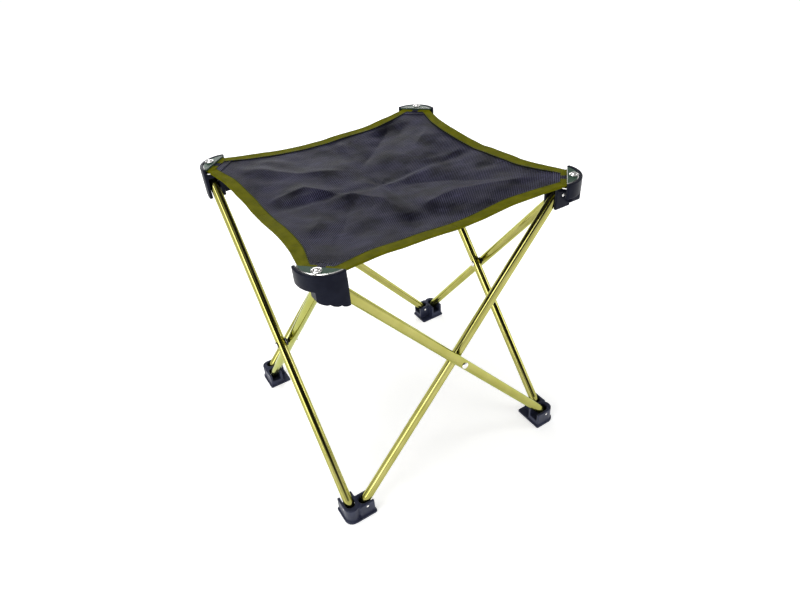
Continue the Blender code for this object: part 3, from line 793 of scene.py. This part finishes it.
def stitch(verts, faces, start, end, radius, up, dip=0.6):
    """One short thread from start to end, bowed up in the middle and dipping into the cloth at its ends."""
    rings, sides = 6, 6
    base = len(verts)
    line = (end - start).normalized()
    across = line.cross(up).normalized()
    for i in range(rings):
        t = i / (rings - 1)
        bow = math.sin(math.pi * t)
        centre = start.lerp(end, t) + up * radius * (1.1 * bow - dip)
        for j in range(sides):
            angle = 2 * math.pi * j / sides
            thin = radius * (0.45 + 0.55 * bow)
            verts.append(centre + across * thin * math.cos(angle) + up * thin * math.sin(angle))
    for i in range(rings - 1):
        for j in range(sides):
            n = (j + 1) % sides
            a = base + i * sides
            faces.append((a + j, a + n, a + sides + n, a + sides + j))
    faces.append(tuple(range(base, base + sides)))
    faces.append(tuple(range(base + (rings - 1) * sides, base + rings * sides)))


def stitches_quarter(k, corner):
    """The dark seam beside each half tape's inner edge, above and below, and the patch's seam."""
    length, gap, radius = 0.0025, 0.0004, 0.00034
    verts, faces = [], []
    for mirror in (False, True):
        for side in (1, -1):
            along = gap / 2
            while along + length < SEAM_LENGTH:
                ends = []
                for place in (along, along + length):
                    point = seat_point(place, tape_width(place) - SEAM_INSET, k, mirror)
                    point.z += side * TAPE_HALF
                    ends.append(point)
                stitch(verts, faces, *ends, radius, Vector((0, 0, side)))
                along += length + gap
    middle = FOLD_LINE - (PATCH_REACH - 2 * SEAM_INSET) / math.sqrt(2)
    half = 2 * (edge_offset(middle) - TAPE_WIDTH - middle) / math.sqrt(2)
    count = int(half / (length + gap))
    for i in range(-count, count):
        ends = []
        for offset in (i * (length + gap), i * (length + gap) + length):
            x, y = -middle + offset / math.sqrt(2), -middle - offset / math.sqrt(2)
            top = seat_height(*whole(k, x, y)) + CLOTH_THICKNESS / 2 + PATCH_THICKNESS
            ends.append(Vector((x, y, top)))
        stitch(verts, faces, *ends, radius * 0.8, Vector((0, 0, 1)))
    return fix_normals(mesh_object(f"seat_stitches_{corner}", verts, faces, dark_thread))


def clamped_tab(k, corner):
    """The short end of cloth and tape that stays between the plates and on the lower plate's lip."""
    steps, rows = 40, 8
    verts, uvs = [], []
    start = CHORD_LINE / math.sqrt(2) + TAB_CLAMPED
    bare_half = CHORD_HALF - tape_width(FOLD_LINE) * math.sqrt(2)
    for z in (CLOTH_Z + CLOTH_THICKNESS / 2, CLOTH_Z - 0.00045):
        for j in range(rows + 1):
            for i in range(steps + 1):
                side = CHORD_HALF * (2 * i / steps - 1)
                round_end = math.sqrt(max(0.0, 1 - (side / CHORD_HALF) ** 4))
                reach = start - (TAB_CLAMPED + TAB_LENGTH * round_end) * j / rows
                x, y = -(reach + side) / math.sqrt(2), -(reach - side) / math.sqrt(2)
                verts.append(Vector((x, y, z)))
                uvs.append((x, y))
    obj = mesh_object(f"clamped_tab_{corner}", verts, sheet_faces(steps, rows), cloth, uvs)
    obj.data.materials.append(tape)
    for face in obj.data.polygons:
        from_middle = abs(face.center.x - face.center.y) / math.sqrt(2)
        face.material_index = 1 if from_middle > bare_half else 0
    fix_normals(obj)
    obj.matrix_world = quarter(k)
    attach(obj, f"hub_{corner}")
    return obj


def seat_quarter(k, corner):
    """The moving part of one quarter: it swings with its seat body."""
    cloth_piece = cloth_quarter(k, corner)
    tape_piece = tape_quarter(k, corner)
    stitches = stitches_quarter(k, corner)
    patch = patch_quarter(k, corner)
    tab = clamped_tab(k, corner)
    of_cloth = [(cloth_piece, "charcoal_cloth"), (patch, "charcoal_cloth")]
    for piece, slot in of_cloth + [(tape_piece, "olive_tape"), (stitches, "olive_tape")]:
        piece.data.transform(quarter(k))
        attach(piece, f"seat_{corner}")
        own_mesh(piece)
    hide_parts(f"seat_panel_{corner}")
    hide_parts(f"seat_binding_{corner}")


# ---------------------------------------------------------------- stage, light and camera


def floor():
    verts = [(-6, -6, 0), (6, -6, 0), (6, 6, 0), (-6, 6, 0)]
    obj = mesh_object("floor", verts, [(0, 1, 2, 3)], floor_material())
    obj.location.z = -0.0001


def area_light(name, location, target, size, power):
    data = bpy.data.lights.new(name, "AREA")
    data.shape = "RECTANGLE"
    data.size, data.size_y = size
    data.energy = power
    obj = bpy.data.objects.new(name, data)
    obj.location = location
    obj.rotation_euler = (Vector(target) - Vector(location)).to_track_quat("-Z", "Y").to_euler()
    bpy.context.scene.collection.objects.link(obj)


def studio_world():
    """A white backdrop. The stool reflects a white cove and the dark above it, as streaks on the tubes."""
    world = bpy.data.worlds.new("studio")
    world.use_nodes = True
    tree = world.node_tree
    split = node(tree, "ShaderNodeSeparateXYZ")
    tree.links.new(node(tree, "ShaderNodeTexCoord").outputs["Generated"], split.inputs["Vector"])
    heights_and_greys = [(0.0, 1.0), (0.34, 1.0), (0.44, 0.02), (0.68, 0.02), (0.80, 0.45)]
    stops = [(height, grey(value)) for height, value in heights_and_greys]
    backdrop = node(tree, "ShaderNodeMix", data_type="RGBA")
    tree.links.new(node(tree, "ShaderNodeLightPath").outputs["Is Camera Ray"], backdrop.inputs["Factor"])
    tree.links.new(ramp(tree, split.outputs["Z"], stops), backdrop.inputs[6])
    backdrop.inputs[7].default_value = (1, 1, 1, 1)
    tree.links.new(backdrop.outputs[2], tree.nodes["Background"].inputs["Color"])
    tree.nodes["Background"].inputs["Strength"].default_value = 1.05
    bpy.context.scene.world = world


def lights():
    """Soft lights all round. The Standard view keeps the sweep white and the cloth dark."""
    middle = (0, 0, 0.14)
    area_light("overhead", (-0.2, 0.3, 1.45), middle, (0.7, 0.5), 8)
    area_light("left_window", (-1.4, -0.5, 0.8), middle, (0.55, 1.2), 8)
    area_light("right_window", (1.3, -0.8, 0.9), middle, (0.35, 1.2), 5)
    area_light("back_strip", (0.5, 1.5, 0.7), middle, (1.2, 0.25), 5)
    studio_world()
    bpy.context.scene.view_settings.view_transform = "Standard"


def camera():
    """Above the front left corner, looking down at the stool, with a slight roll."""
    azimuth, elevation, roll = (math.radians(a) for a in (-29.56, 36.16, -4.39))
    target = Vector((0.0693, 0.104, 0.0375))
    level = math.cos(elevation)
    back = Vector((math.sin(azimuth) * level, -math.cos(azimuth) * level, math.sin(elevation)))
    right = Vector((math.cos(azimuth), math.sin(azimuth), 0))
    up = back.cross(right)
    tilted_right = right * math.cos(roll) + up * math.sin(roll)
    tilted_up = up * math.cos(roll) - right * math.sin(roll)
    data = bpy.data.cameras.new("camera")
    data.lens = 26.3
    obj = bpy.data.objects.new("camera", data)
    turn = Matrix((tilted_right, tilted_up, back)).transposed().to_4x4()
    obj.matrix_world = Matrix.Translation(target + back * 0.721) @ turn
    bpy.context.scene.collection.objects.link(obj)
    bpy.context.scene.camera = obj


# ---------------------------------------------------------------- assembly

for k, corner in enumerate(CORNERS):
    mould(f"hub_{corner}", plastic)
    mould(f"foot_{corner}", foot_plastic)
    dress(f"clamp_lower_plate_{corner}", steel)
    for place in ("hub", "foot"):
        dress(f"{place}_outer_pin_{corner}", steel)
        dress(f"{place}_inner_pin_{corner}", steel)
    top_plate(k, corner)
    seat_rivet(k, corner)
    seat_quarter(k, corner)
for side in SIDES:
    dress(f"crossing_rivet_{side}", steel)
    dress(f"crossing_spacer_{side}", plastic)
legs()
floor()
lights()
camera()
